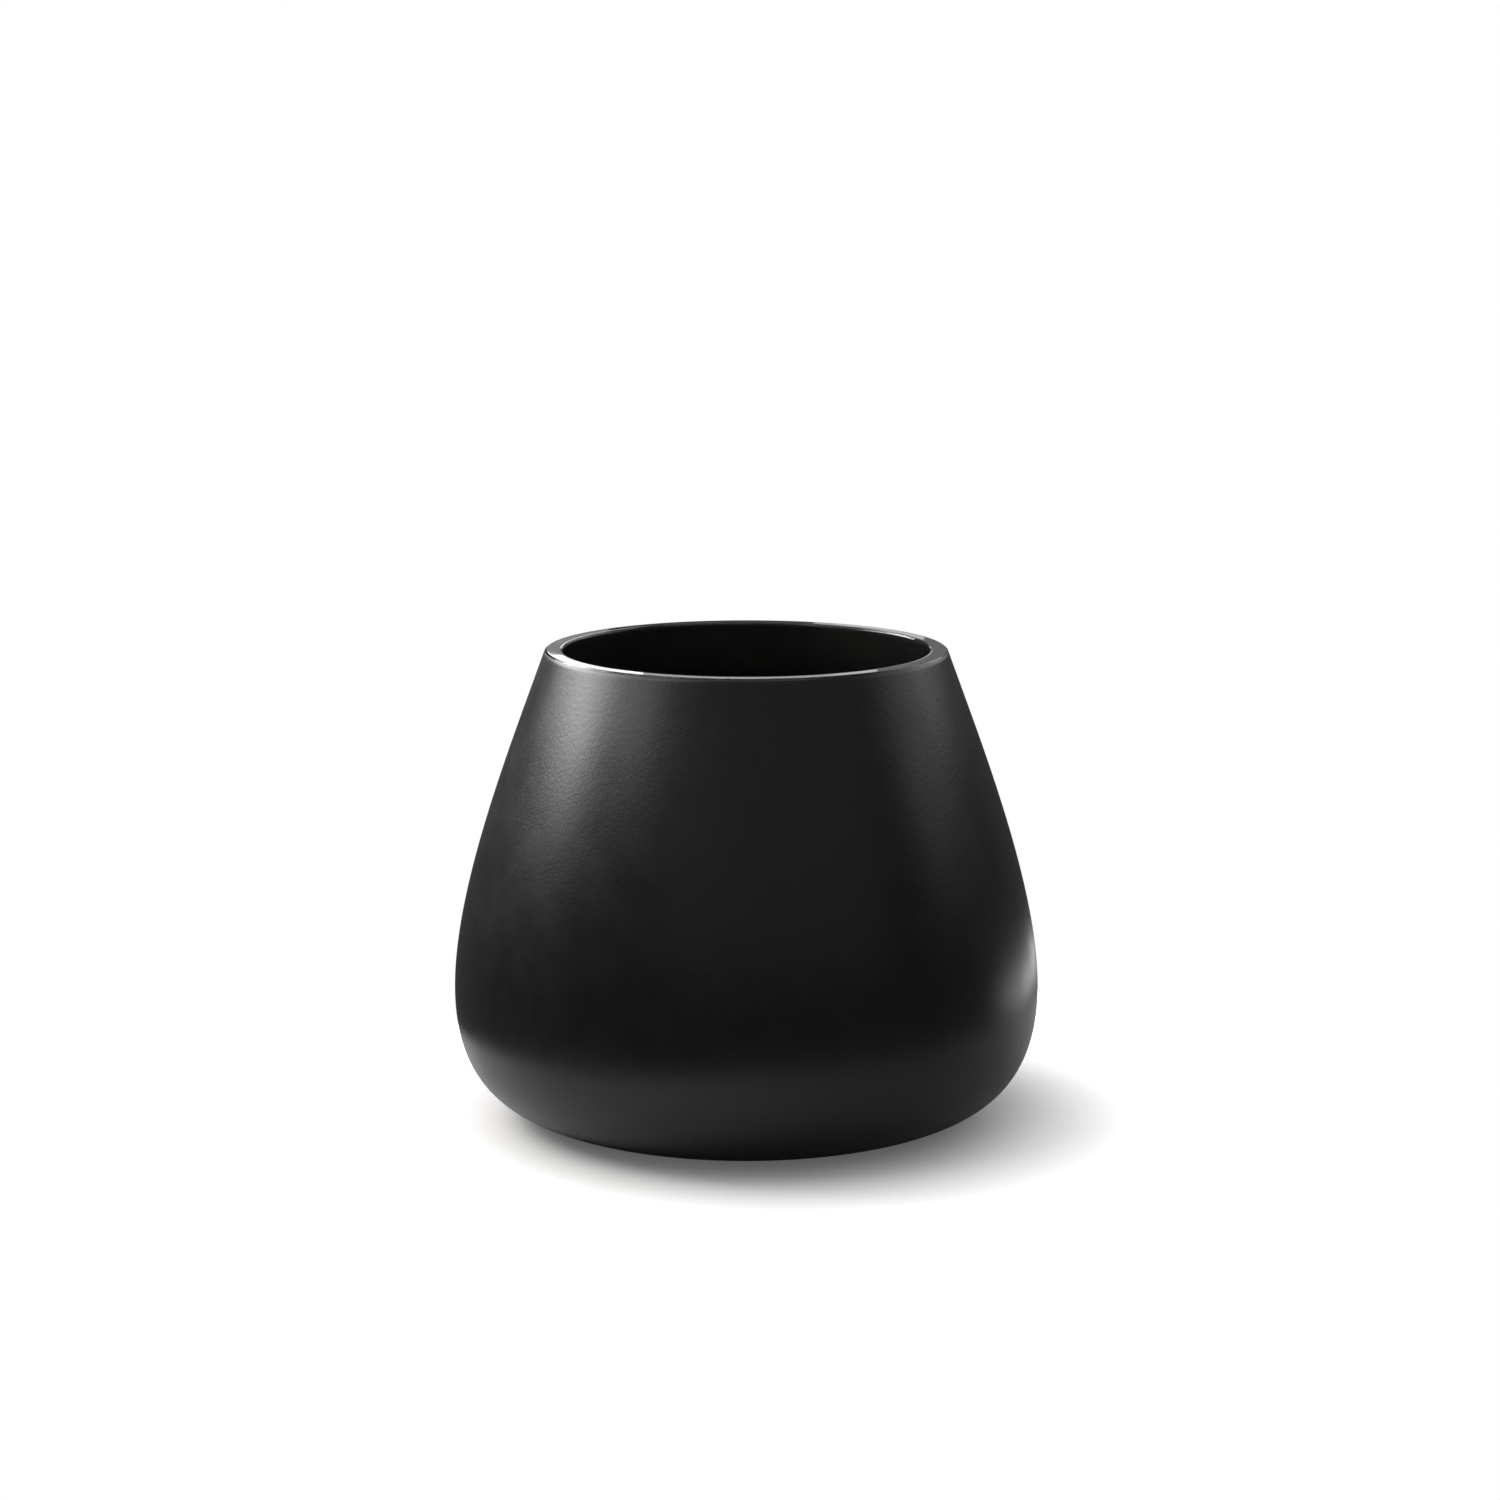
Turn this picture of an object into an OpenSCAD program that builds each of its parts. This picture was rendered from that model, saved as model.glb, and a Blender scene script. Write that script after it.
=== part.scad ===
// Empty candle jar: a tapered glass vessel, lacquered matt black on its outside only.
// It stands on z = 0 with its axis on the Z axis, mouth up. All sizes are in millimetres.

/* [Outside] */
// Widest diameter of the body, over the lacquer
body_d = 100; // [96:1:106]
// Height from the foot to the top of the rim
jar_h = 80; // [76:1:90]
// Diameter at the top of the wall, just below the rounded rim edge
rim_d = 68.2; // [64:0.2:72]
// Diameter of the flat foot ring at its outer edge
foot_d = 56; // [50:1:60]
// Height of the widest point above the foot
belly_h = 21.7; // [20.7:0.1:24]
// Lean of the wall at the rim, in degrees from vertical
rim_lean = 19.8; // [16:0.2:23]
// How far the wall keeps straight up above the widest point
belly_pull = 17.6; // [14:0.1:18.4]
// How far the wall keeps straight below the rim
rim_pull = 15.5; // [8:0.5:18]
// How far the heel keeps flat outside the foot
heel_pull = 9; // [7:0.5:13]

/* [Glass] */
// Thickness of the glass at the rim
rim_wall = 2.9; // [2.4:0.1:3.5]
// Thickness of the glass at the widest point
belly_wall = 3.4; // [2.8:0.1:4.5]
// Thickness of the glass from the foot plane to the inside floor
floor_t = 8; // [6:0.5:11]
// Radius of the outer edge of the rim
outer_round = 0.3; // [0.2:0.1:0.9]
// Radius of the inner edge of the rim
inner_round = 0.4; // [0.2:0.1:0.6]
// Width of the flat ring that the jar stands on
foot_w = 2.5; // [1.5:0.5:5]
// Height of the shallow hollow under the base
punt_h = 2; // [1:0.1:3]

/* [Lacquer] */
// Thickness of the lacquer film
film = 0.15; // [0.1:0.05:0.2]
// Gap between the lacquer and the surface that the jar stands on
foot_gap = 0.05; // [0.05:0.05:0.2]

/* [Smoothness] */
// Straight steps in each half of the wall's outline
curve_steps = 24; // [12:4:32]
// Straight steps in each rounded edge of the rim
edge_steps = 6; // [3:1:8]
// Sides of the full circle, for display only
$fn = 144; // [48:24:192]

/* [Hidden] */

glass_colour = [0.13, 0.13, 0.14];
lacquer_colour = [0.09, 0.09, 0.10];

body_r = body_d/2;
foot_r = foot_d/2;
punt_r = foot_r - foot_w;

// Unit vectors at the rim, in the plane of the outline: out of the wall, and up along it
rim_out = [cos(rim_lean), sin(rim_lean)];
rim_up = [-sin(rim_lean), cos(rim_lean)];

// The rim's outer edge is an arc, and the lacquer stops where the arc begins
outer_centre = [rim_d/2 - (outer_round + film)*rim_out.x, jar_h - outer_round];
wall_top = outer_centre + (outer_round + film)*rim_out;

// Handles of the upper curve, from the widest point to the top of the wall
belly_point = [body_r, belly_h];
shoulder = [belly_point, [body_r, belly_h + belly_pull], wall_top - rim_pull*rim_up, wall_top];

// The heel's upper handle is as long as keeps the curvature steady through the widest point
heel_reach = body_r - foot_r - heel_pull;
shoulder_reach = body_r - shoulder[2].x;
heel_rise = belly_pull*sqrt(heel_reach/shoulder_reach);
heel = [[foot_r, 0], [foot_r + heel_pull, 0], [body_r, belly_h - heel_rise], belly_point];

// The rim's inner edge is an arc that touches the inner wall and the top of the rim
inner_top = wall_top - (film + rim_wall)*rim_out;
inner_rise = jar_h - inner_round - inner_top.y;
inner_centre = [
    inner_top.x + (inner_round - inner_rise*rim_out.y)/rim_out.x,
    jar_h - inner_round
];

// The hollow under the base is a shallow cap of a large sphere
punt_sphere_r = (punt_r*punt_r + punt_h*punt_h)/(2*punt_h);

// Point on the cubic curve with the four handles h, at t from 0 to 1
function on_curve(h, t) =
    pow(1 - t, 3)*h[0] + 3*pow(1 - t, 2)*t*h[1] + 3*(1 - t)*t*t*h[2] + pow(t, 3)*h[3];

// Direction of travel along that curve
function along_curve(h, t) =
    pow(1 - t, 2)*(h[1] - h[0]) + 2*(1 - t)*t*(h[2] - h[1]) + t*t*(h[3] - h[2]);

// Point at a depth below the curve, measured square to it, towards the jar's inside
function below_curve(h, t, depth) =
    let (way = along_curve(h, t))
    on_curve(h, t) + depth*[-way.y, way.x]/norm(way);

// Smooth step from 0 to 1
function ease(t) = t*t*(3 - 2*t);

// Depth of the inside surface: thickest under the floor, thinnest at the rim
function heel_depth(t) = floor_t + (film + belly_wall - floor_t)*ease(t);
function shoulder_depth(t) = film + belly_wall + (rim_wall - belly_wall)*ease(t);

// Evenly spaced steps from a to b
function steps(a, b, count) = [for (i = [0:count]) a + (b - a)*i/count];

// The place on the heel, as t, where it is z high, found by halving
function heel_place(z, low = 0, high = 1, tries = 24) =
    let (middle = (low + high)/2)
    tries == 0 ? middle
    : on_curve(heel, middle).y < z ? heel_place(z, middle, high, tries - 1)
    : heel_place(z, low, middle, tries - 1);

// The foot ring and the bands beside it are bare, where the lacquer would touch the surface below
coat_start = heel_place(foot_gap);

// The lacquered stretch of the outside at a depth, from the heel up to the rim's edge
function lacquered_wall(depth) = concat(
    [for (t = steps(coat_start, 1, curve_steps)) below_curve(heel, t, depth)],
    [for (t = steps(1/curve_steps, 1, curve_steps - 1)) below_curve(shoulder, t, depth)]
);

// The inside surface, from the rim down to the floor's edge
function inside_wall() = concat(
    [for (t = steps(1, 0, curve_steps)) below_curve(shoulder, t, shoulder_depth(t))],
    [for (t = steps(1 - 1/curve_steps, 0, curve_steps - 1)) below_curve(heel, t, heel_depth(t))]
);

// The rim's top, from the end of the wall's outline over its two rounded edges
function edge_arc(centre, radius, from, to) =
    [for (a = steps(from, to, edge_steps)) centre + radius*[cos(a), sin(a)]];
function all_but_first(points) = [for (i = [1:len(points) - 1]) points[i]];
function rim_line() = concat(
    all_but_first(edge_arc(outer_centre, outer_round, rim_lean, 90)),
    edge_arc(inner_centre, inner_round, 90, 180 + rim_lean)
);

// The cross-section of a layer between two lines that run the same way
function layer(one, other) = concat(one, [for (i = [len(other) - 1:-1:0]) other[i]]);

// The hollow's surface under the base: its height at radius r, and its radius at height z
function punt_z(r) = punt_h - punt_sphere_r + sqrt(pow(punt_sphere_r, 2) - r*r);
function punt_radius(z) = sqrt(pow(punt_sphere_r, 2) - pow(z - punt_h + punt_sphere_r, 2));
punt_coat_r = punt_radius(film + foot_gap);

// The hollow's surface out to a radius, dropped by a depth
function punt_line(out_to, drop) =
    [for (r = steps(0, out_to, curve_steps/2)) [r, punt_z(r) - drop]];

// Thick-based glass with a polished rim, bare inside, and standing on a flat ring
module glass_vessel() {
    color(glass_colour)
        rotate_extrude()
            polygon(concat(
                punt_line(punt_r, 0),
                [[foot_r, 0]],
                lacquered_wall(film),
                rim_line(),
                inside_wall(),
                [[0, floor_t]]
            ));
}

// Lacquer on the wall and heel, from the rim's edge to the bare band beside the foot
module wall_lacquer() {
    color(lacquer_colour)
        rotate_extrude()
            polygon(layer(lacquered_wall(0), lacquered_wall(film)));
}

// Lacquer in the hollow under the base, which the bare foot ring cuts off from the wall's
module base_lacquer() {
    color(lacquer_colour)
        rotate_extrude()
            polygon(layer(punt_line(punt_coat_r, film), punt_line(punt_coat_r, 0)));
}

glass_vessel();
wall_lacquer();
base_lacquer();
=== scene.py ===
import math

import bmesh
import bpy
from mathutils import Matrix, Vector, noise


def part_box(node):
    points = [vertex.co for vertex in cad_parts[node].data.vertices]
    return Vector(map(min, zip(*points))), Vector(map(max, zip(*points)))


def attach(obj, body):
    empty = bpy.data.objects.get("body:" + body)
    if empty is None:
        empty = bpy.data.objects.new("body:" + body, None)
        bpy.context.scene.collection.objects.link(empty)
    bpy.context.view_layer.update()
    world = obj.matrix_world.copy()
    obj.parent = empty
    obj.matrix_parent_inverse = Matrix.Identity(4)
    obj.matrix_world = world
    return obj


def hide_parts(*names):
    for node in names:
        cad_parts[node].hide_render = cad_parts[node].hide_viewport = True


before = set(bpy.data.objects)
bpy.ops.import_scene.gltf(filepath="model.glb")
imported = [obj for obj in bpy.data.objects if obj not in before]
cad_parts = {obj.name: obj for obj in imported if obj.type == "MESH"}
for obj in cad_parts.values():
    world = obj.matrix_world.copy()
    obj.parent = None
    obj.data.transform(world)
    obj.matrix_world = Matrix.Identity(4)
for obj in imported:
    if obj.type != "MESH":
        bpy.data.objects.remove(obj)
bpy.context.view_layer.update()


# ---------------------------------------------------------------- glass vessel
# One moulded soda-lime glass jar: a narrow mouth, a long rounded heel and a thick floor. The rim is
# ground flat and polished, and the inside carries the faint swell of hot glass. It is bare inside,
# on the rim and on the ring that it stands on.

glass_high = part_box("glass_vessel")[1]
body_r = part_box("wall_lacquer")[1].x
jar_h = glass_high.z
film = body_r - glass_high.x
rim_r = 0.0341
foot_r = 0.028
belly_h = 0.0217
rim_lean = math.radians(19.8)
# How far the outline keeps straight above the belly, below the rim and outside the foot
belly_pull = 0.0176
rim_pull = 0.0155
heel_pull = 0.009

rim_wall = 0.0029
belly_wall = 0.0034
floor_t = 0.008
outer_round = 0.0003
inner_round = 0.0004
foot_w = 0.0025
punt_h = 0.002
foot_gap = 0.00005

TURNS = 288
WALL_STEPS = 64
EDGE_STEPS = 10
LAND_STEPS = 8
FLOOR_STEPS = 20
PUNT_STEPS = 24
HALVINGS = 40
ON_THE_AXIS = 1e-7

rim_out = Vector((math.cos(rim_lean), math.sin(rim_lean)))
rim_up = Vector((-math.sin(rim_lean), math.cos(rim_lean)))
outer_centre = Vector((rim_r - (outer_round + film) * rim_out.x, jar_h - outer_round))
wall_top = outer_centre + (outer_round + film) * rim_out

belly_point = Vector((body_r, belly_h))
above_belly = belly_point + Vector((0, belly_pull))
shoulder = (belly_point, above_belly, wall_top - rim_pull * rim_up, wall_top)
heel_reach = body_r - foot_r - heel_pull
heel_rise = belly_pull * math.sqrt(heel_reach / (body_r - shoulder[2].x))
foot_point = Vector((foot_r, 0))
heel_out = foot_point + Vector((heel_pull, 0))
heel = (foot_point, heel_out, belly_point - Vector((0, heel_rise)), belly_point)

inner_top = wall_top - (film + rim_wall) * rim_out
inner_rise = jar_h - inner_round - inner_top.y
inner_r = inner_top.x + (inner_round - inner_rise * rim_out.y) / rim_out.x
inner_centre = Vector((inner_r, jar_h - inner_round))
punt_r = foot_r - foot_w


def steps(first, last, count):
    """Evenly spaced values from first to last, both included."""
    return [first + (last - first) * i / count for i in range(count + 1)]


def ease(t):
    """A smooth step from 0 to 1."""
    return t * t * (3 - 2 * t)


def below_curve(handles, t, depth):
    """A point of the outline's curve, moved square to it into the jar by a depth."""
    a, b, c, d = handles
    point = (1 - t) ** 3 * a + 3 * (1 - t) ** 2 * t * b + 3 * (1 - t) * t * t * c + t ** 3 * d
    way = (1 - t) ** 2 * (b - a) + 2 * (1 - t) * t * (c - b) + t * t * (d - c)
    return point + depth * Vector((-way.y, way.x)).normalized()


def heel_place(height):
    """Where the outside's heel is this high, as the curve's t, found by halving."""
    low, high = 0.0, 1.0
    for _ in range(HALVINGS):
        middle = (low + high) / 2
        if below_curve(heel, middle, 0).y < height:
            low = middle
        else:
            high = middle
    return low


def outside_line(depth, start):
    """The outside at a depth, from a place on the heel up to the rim's edge."""
    lower = [below_curve(heel, t, depth) for t in steps(start, 1, WALL_STEPS)]
    upper = [below_curve(shoulder, t, depth) for t in steps(0, 1, WALL_STEPS)]
    return lower + upper[1:]


def inside_line():
    """The inside, from the rim down over the wall and the rounded heel to the floor."""
    line = []
    for t in steps(1, 0, WALL_STEPS):
        wall = belly_wall + (rim_wall - belly_wall) * ease(t)
        line.append(below_curve(shoulder, t, film + wall))
    for t in steps(1, 0, WALL_STEPS)[1:]:
        depth = floor_t + (film + belly_wall - floor_t) * ease(t)
        line.append(below_curve(heel, t, depth))
    return line


def edge_arc(centre, radius, first, last):
    """A rounded edge, between two angles in degrees."""
    angles = [math.radians(a) for a in steps(first, last, EDGE_STEPS)]
    return [centre + radius * Vector((math.cos(a), math.sin(a))) for a in angles]


def punt_line(reach, drop):
    """The hollow under the base, from the axis out to a radius, lowered by a drop."""
    sphere_r = (punt_r ** 2 + punt_h ** 2) / (2 * punt_h)
    line = []
    for r in steps(0, reach, PUNT_STEPS):
        line.append(Vector((r, punt_h - sphere_r + math.sqrt(sphere_r ** 2 - r * r) - drop)))
    return line


def lathe(name, outline, closed=False, shift=None):
    """Spins an outline of (radius, height) points round the axis into one watertight piece."""
    bm = bmesh.new()
    rings = []
    for i, (radius, height) in enumerate(outline):
        if radius < ON_THE_AXIS:
            rings.append([bm.verts.new((0, 0, height))])
            continue
        ring = []
        for k in range(TURNS):
            angle = 2 * math.pi * k / TURNS
            point = Vector((radius * math.cos(angle), radius * math.sin(angle), height))
            ring.append(bm.verts.new(shift(i, angle, point) if shift else point))
        rings.append(ring)
    neighbours = rings[1:] + (rings[:1] if closed else [])
    for one, other in zip(rings, neighbours):
        for k in range(TURNS):
            n = (k + 1) % TURNS
            if len(one) == 1:
                bm.faces.new((one[0], other[n], other[k]))
            elif len(other) == 1:
                bm.faces.new((one[k], one[n], other[0]))
            else:
                bm.faces.new((one[k], one[n], other[n], other[k]))
    bmesh.ops.recalc_face_normals(bm, faces=bm.faces)
    for face in bm.faces:
        face.smooth = True
    mesh = bpy.data.meshes.new(name)
    bm.to_mesh(mesh)
    bm.free()
    piece = bpy.data.objects.new(name, mesh)
    bpy.context.scene.collection.objects.link(piece)
    return piece


coat_start = heel_place(foot_gap)
lean_degrees = math.degrees(rim_lean)
under_base = punt_line(punt_r, 0) + [foot_point]
outer_edge = edge_arc(outer_centre, outer_round, lean_degrees, 90)[1:]
land = [Vector((x, jar_h)) for x in steps(outer_centre.x, inner_centre.x, LAND_STEPS)[1:-1]]
inner_edge = edge_arc(inner_centre, inner_round, 90, 180 + lean_degrees)
outside = under_base + outside_line(film, coat_start) + outer_edge + land + inner_edge
floor = [Vector((r, floor_t)) for r in steps(foot_r, 0, FLOOR_STEPS)[1:]]

swell = 0.00006
swell_fades_below_rim = 0.012
swell_fades_to_axis = 0.02
swell_waves_round = 1.6
swell_waves_up = 60
swell_seed = 3


def swell_inside(i, angle, point):
    """The inside's swell, which fades out towards the rim and the middle of the floor."""
    if i < len(outside):
        return point
    fade = min(1, (jar_h - point.z) / swell_fades_below_rim)
    fade *= min(1, point.xy.length / swell_fades_to_axis)
    round_x = math.cos(angle) * swell_waves_round
    round_y = math.sin(angle) * swell_waves_round
    wave = noise.noise(Vector((round_x, round_y, point.z * swell_waves_up + swell_seed)))
    outwards = Vector((point.x, point.y, 0)).normalized()
    return point + outwards * swell * fade * wave


vessel = lathe("glass_jar", outside + inside_line() + floor, shift=swell_inside)


def shader(name):
    """A new material, with its nodes, its link call and its main shader."""
    material = bpy.data.materials.new(name)
    material.use_nodes = True
    tree = material.node_tree
    return material, tree.nodes, tree.links.new, tree.nodes["Principled BSDF"]


def speckle(nodes, link, scale, detail, roughness=0.5):
    """Noise that is fixed to the piece."""
    place = nodes.new("ShaderNodeTexCoord")
    texture = nodes.new("ShaderNodeTexNoise")
    texture.inputs["Scale"].default_value = scale
    texture.inputs["Detail"].default_value = detail
    texture.inputs["Roughness"].default_value = roughness
    link(place.outputs["Object"], texture.inputs["Vector"])
    return texture.outputs["Fac"]


def spread(nodes, link, value, first, last, low, high):
    """A value between first and last, spread over low to high."""
    span = nodes.new("ShaderNodeMapRange")
    span.inputs["From Min"].default_value = first
    span.inputs["From Max"].default_value = last
    span.inputs["To Min"].default_value = low
    span.inputs["To Max"].default_value = high
    link(value, span.inputs["Value"])
    return span


def bump(nodes, link, height, strength, distance):
    """A surface that rises and falls with a value."""
    relief = nodes.new("ShaderNodeBump")
    relief.inputs["Strength"].default_value = strength
    relief.inputs["Distance"].default_value = distance
    link(height, relief.inputs["Height"])
    return relief.outputs["Normal"]


glass_tint = (0.58, 0.585, 0.59, 1)
glass_index = 1.52

glass, nodes, link, surface = shader("polished_glass")
surface.inputs["Base Color"].default_value = glass_tint
surface.inputs["Transmission Weight"].default_value = 1.0
surface.inputs["IOR"].default_value = glass_index
smears = speckle(nodes, link, scale=90, detail=3)
polish = spread(nodes, link, smears, first=0.35, last=0.75, low=0.01, high=0.05)
link(polish.outputs["Result"], surface.inputs["Roughness"])
waves = speckle(nodes, link, scale=55, detail=1)
link(bump(nodes, link, waves, strength=0.2, distance=0.0001), surface.inputs["Normal"])
vessel.data.materials.append(glass)

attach(vessel, "root")
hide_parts("glass_vessel")


# ---------------------------------------------------------------- wall lacquer
# Matt black lacquer, sprayed on the spinning jar and baked. It runs from the rim's rounded edge,
# where it thins out, down the wall and round the heel to just short of the foot ring. Its back
# lies against the glass and looks browner there.

sunk = 0.00003
feather = 0.0002
feather_steps = 8
edge_loses = 0.6
wall_rise = 0.058
lacquer_index = 1.5
lacquer_dark = (0.0032, 0.0032, 0.0034, 1)
lacquer_light = (0.0052, 0.0050, 0.0052, 1)
backing_dark = (0.030, 0.027, 0.025, 1)
backing_light = (0.042, 0.036, 0.032, 1)


def film_depth(height):
    """How far the lacquer's face lies under the outline: nothing, except at its thin edge."""
    thin = max(0, 1 - (wall_top.y - height) / feather)
    return film * edge_loses * ease(min(1, thin))


full_film = [below_curve(heel, t, 0) for t in steps(coat_start, 1, WALL_STEPS)]
edge_places = steps(1 - feather / wall_rise, 1, feather_steps)
wall_places = [t for t in steps(0, 1, WALL_STEPS)[1:] if t < edge_places[0]]
thin_film = []
for t in wall_places + edge_places:
    height = below_curve(shoulder, t, 0).y
    thin_film.append(below_curve(shoulder, t, film_depth(height)))
film_face = full_film + thin_film
film_back = outside_line(film + sunk, coat_start)[::-1]
wall_coat = lathe("outer_lacquer", film_face + film_back, closed=True)


def two_tone(nodes, link, value, dark, light):
    """A colour that runs from dark to light with a noise."""
    ramp = nodes.new("ShaderNodeValToRGB")
    dark_end, light_end = ramp.color_ramp.elements
    dark_end.position = 0.3
    dark_end.color = dark
    light_end.position = 0.7
    light_end.color = light
    link(value, ramp.inputs["Fac"])
    return ramp.outputs["Color"]


lacquer, nodes, link, surface = shader("matt_black_lacquer")
surface.inputs["IOR"].default_value = lacquer_index
tone = speckle(nodes, link, scale=240, detail=6)
blacks = two_tone(nodes, link, tone, lacquer_dark, lacquer_light)
link(blacks, surface.inputs["Base Color"])
sheen = speckle(nodes, link, scale=120, detail=4)
matt = spread(nodes, link, sheen, first=0.3, last=0.7, low=0.31, high=0.37)
link(matt.outputs["Result"], surface.inputs["Roughness"])
grain = speckle(nodes, link, scale=1500, detail=3, roughness=0.6)
link(bump(nodes, link, grain, strength=0.5, distance=0.00005), surface.inputs["Normal"])
wall_coat.data.materials.append(lacquer)

backing, nodes, link, surface = shader("lacquer_behind_glass")
surface.inputs["IOR"].default_value = lacquer_index
cloud = speckle(nodes, link, scale=60, detail=5)
browns = two_tone(nodes, link, cloud, backing_dark, backing_light)
link(browns, surface.inputs["Base Color"])
wetting = spread(nodes, link, cloud, first=0, last=1, low=0.45, high=0.55)
link(wetting.outputs["Result"], surface.inputs["Roughness"])


def back_with(piece, face_rings):
    """Gives the film's back, the rings after its face, the look it has behind the glass."""
    piece.data.materials.append(backing)
    for polygon in piece.data.polygons:
        polygon.material_index = int(polygon.index // TURNS >= face_rings)


back_with(wall_coat, len(film_face))

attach(wall_coat, "root")
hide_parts("wall_lacquer")


# ---------------------------------------------------------------- base lacquer
# The same lacquer, sprayed into the shallow hollow under the base and baked with the rest. The
# ring that the jar stands on is bare, so this patch is cut off from the wall's film.

patch_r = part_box("base_lacquer")[1].x
patch_face = punt_line(patch_r, film)
patch_back = punt_line(patch_r, -sunk)[::-1]
patch = lathe("base_lacquer_patch", patch_face + patch_back)
patch.data.materials.append(lacquer)
back_with(patch, len(patch_face))

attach(patch, "root")
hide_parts("base_lacquer")


# ---------------------------------------------------------------- table top
# A small round table of white acrylic, a hair below the foot so that the two faces don't coincide.
# To the camera alone it glows, a painted glow that is dimmest where the jar stands, so that it
# paints a soft grey shadow there.

table_r = 0.095
table_gap = 0.00004
table_centre = (0.018, -0.004, 0)
table_white = (0.58, 0.57, 0.56, 1)
# Painted glow levels: dim in the painted shadow round the foot, near white at the table's edge
painted_shadow_glow = 0.10
painted_glow_at_edge = 0.95
painted_shadow_from = 0.034
painted_shadow_to = 0.080

bm = bmesh.new()
bmesh.ops.create_circle(bm, cap_ends=True, segments=128, radius=table_r)
bmesh.ops.translate(bm, verts=bm.verts, vec=table_centre)
table_mesh = bpy.data.meshes.new("table_top")
bm.to_mesh(table_mesh)
bm.free()
table_top = bpy.data.objects.new("table_top", table_mesh)
table_top.location.z = -table_gap
bpy.context.scene.collection.objects.link(table_top)

white, nodes, link, surface = shader("white_acrylic_painted_glow")
surface.inputs["Base Color"].default_value = table_white
surface.inputs["Roughness"].default_value = 0.6
surface.inputs["Specular IOR Level"].default_value = 0.2
surface.inputs["Emission Color"].default_value = (1, 1, 1, 1)
# Painted glow, seen by the camera alone: it rises from a painted shadow round the foot to near
# white further out
place = nodes.new("ShaderNodeTexCoord")
from_foot = nodes.new("ShaderNodeVectorMath")
from_foot.operation = "LENGTH"
link(place.outputs["Object"], from_foot.inputs[0])
reach = from_foot.outputs["Value"]
painted_glow = spread(nodes, link, reach, painted_shadow_from, painted_shadow_to, painted_shadow_glow, painted_glow_at_edge)
painted_glow.interpolation_type = "SMOOTHSTEP"
seen = nodes.new("ShaderNodeLightPath")
camera_only_glow = nodes.new("ShaderNodeMath")
camera_only_glow.operation = "MULTIPLY"
link(seen.outputs["Is Camera Ray"], camera_only_glow.inputs[0])
link(painted_glow.outputs["Result"], camera_only_glow.inputs[1])
link(camera_only_glow.outputs["Value"], surface.inputs["Emission Strength"])
table_top.data.materials.append(white)


# ---------------------------------------------------------------- studio light
# Softboxes on the left, weaker ones on the right, a dim sheet behind the camera and one overhead.
# Small cards far behind the jar are there for the flat rim to mirror. The backdrop is white to the
# camera alone, and the room round the jar is dark.

aim = Vector((0, 0, jar_h / 2))


def softbox(name, azimuth, elevation, distance, width, height, radiance):
    """A soft area light that faces the jar. Azimuth 0 is behind the camera, 90 on the right."""
    a = math.radians(azimuth)
    e = math.radians(elevation)
    away = Vector((math.sin(a) * math.cos(e), -math.cos(a) * math.cos(e), math.sin(e)))
    panel = bpy.data.lights.new(name, "AREA")
    panel.shape = "RECTANGLE"
    panel.size = width
    panel.size_y = height
    panel.energy = radiance * math.pi * width * height
    lamp = bpy.data.objects.new(name, panel)
    lamp.location = aim + away * distance
    lamp.rotation_mode = "QUATERNION"
    lamp.rotation_quaternion = away.to_track_quat("Z", "Y")
    lamp.visible_camera = False
    bpy.context.scene.collection.objects.link(lamp)


# Each has its azimuth, elevation, distance, width, height and radiance

# The broad highlight on the left, and its bright upper end close to the rim
softbox("key", -116, 32, 0.46, 0.44, 0.20, 8.6)
softbox("key_wrap", -66, 46, 0.50, 0.30, 0.24, 2.6)
softbox("near_left", -98, 27, 0.19, 0.13, 0.04, 4.9)
softbox("near_wrap", -58, 34.5, 0.108, 0.05, 0.016, 2.2)
# The faint highlight on the right, light from behind on the left, and the gleam low on the belly
softbox("near_right", 122, 27, 0.19, 0.13, 0.05, 1.0)
softbox("rear_left_top", -152, 36, 0.60, 0.34, 0.16, 4.5)
softbox("right_fill", 123, 31, 0.60, 0.92, 0.34, 0.95)
softbox("low_right_card", 125, -14, 0.165, 0.12, 0.010, 3.1)
# A dim sheet behind the camera
softbox("front_fill", 12, 32, 0.90, 1.80, 0.80, 0.20)
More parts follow.
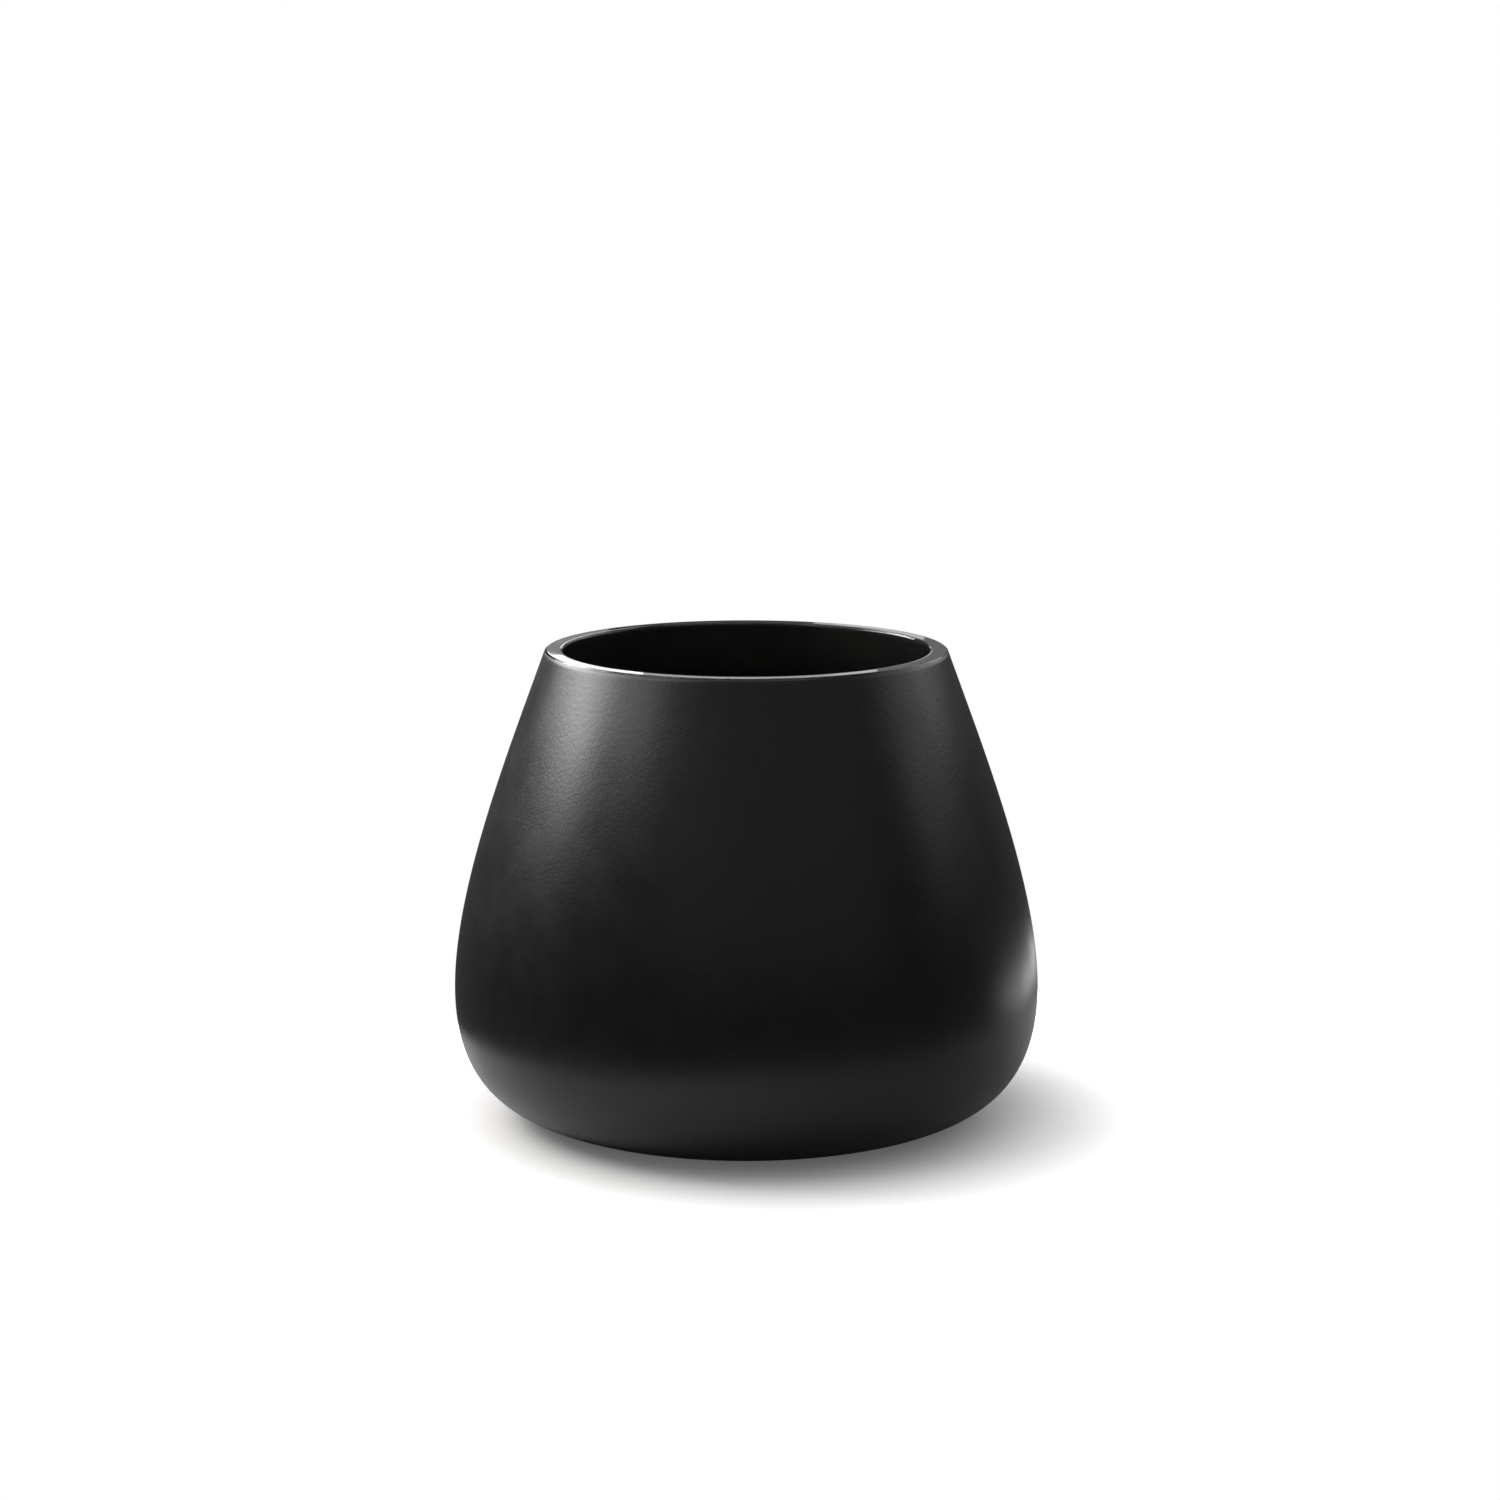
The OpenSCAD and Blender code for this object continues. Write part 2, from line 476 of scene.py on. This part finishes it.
# What the rim mirrors, from white at its front left to grey at its sides
softbox("rim_card_left", -175.33, 12.05, 0.910, 0.055, 0.030, 2.6)
softbox("rim_card_front", 179.68, 12.15, 0.907, 0.100, 0.028, 0.75)
softbox("rim_card_right", 176.68, 10.20, 0.903, 0.047, 0.015, 0.8)
softbox("rear_left_card", -172.62, 9.10, 0.906, 0.11, 0.058, 0.40)
softbox("rear_right_card", 168, 10, 0.90, 0.30, 0.16, 0.20)
# Dim light from above
softbox("overhead", 0, 89.9, 1.20, 1.00, 1.00, 1.0)

backdrop_white = 1.0
room_dark = 0.075

world = bpy.data.worlds.new("studio")
world.use_nodes = True
bpy.context.scene.world = world
nodes = world.node_tree.nodes
link = world.node_tree.links.new
nodes.clear()
backdrop = nodes.new("ShaderNodeBackground")
backdrop.inputs["Color"].default_value = (1, 1, 1, 1)
backdrop.inputs["Strength"].default_value = backdrop_white
room = nodes.new("ShaderNodeBackground")
room.inputs["Color"].default_value = (1, 1, 1, 1)
room.inputs["Strength"].default_value = room_dark
seen = nodes.new("ShaderNodeLightPath")
either = nodes.new("ShaderNodeMixShader")
sky = nodes.new("ShaderNodeOutputWorld")
link(seen.outputs["Is Camera Ray"], either.inputs["Fac"])
link(room.outputs["Background"], either.inputs[1])
link(backdrop.outputs["Background"], either.inputs[2])
link(either.outputs["Shader"], sky.inputs["Surface"])
bpy.context.scene.view_settings.view_transform = "Standard"


# ---------------------------------------------------------------- camera
# A short telephoto lens, about six jar widths away and a little above the rim. It looks slightly
# down on the jar.

camera_distance = 0.590
camera_above = math.radians(8.45)
camera_pitch = math.radians(10.127)
camera_aside = 0.00063
lens_mm = 83.63
sensor_mm = 36

camera_data = bpy.data.cameras.new("camera")
camera_data.lens = lens_mm
camera_data.sensor_width = sensor_mm
camera_data.clip_start = 0.01
camera = bpy.data.objects.new("camera", camera_data)
camera.location.x = camera_aside
camera.location.y = -camera_distance * math.cos(camera_above)
camera.location.z = jar_h + camera_distance * math.sin(camera_above)
camera.rotation_euler = (math.pi / 2 - camera_pitch, 0, 0)
bpy.context.scene.collection.objects.link(camera)
bpy.context.scene.camera = camera
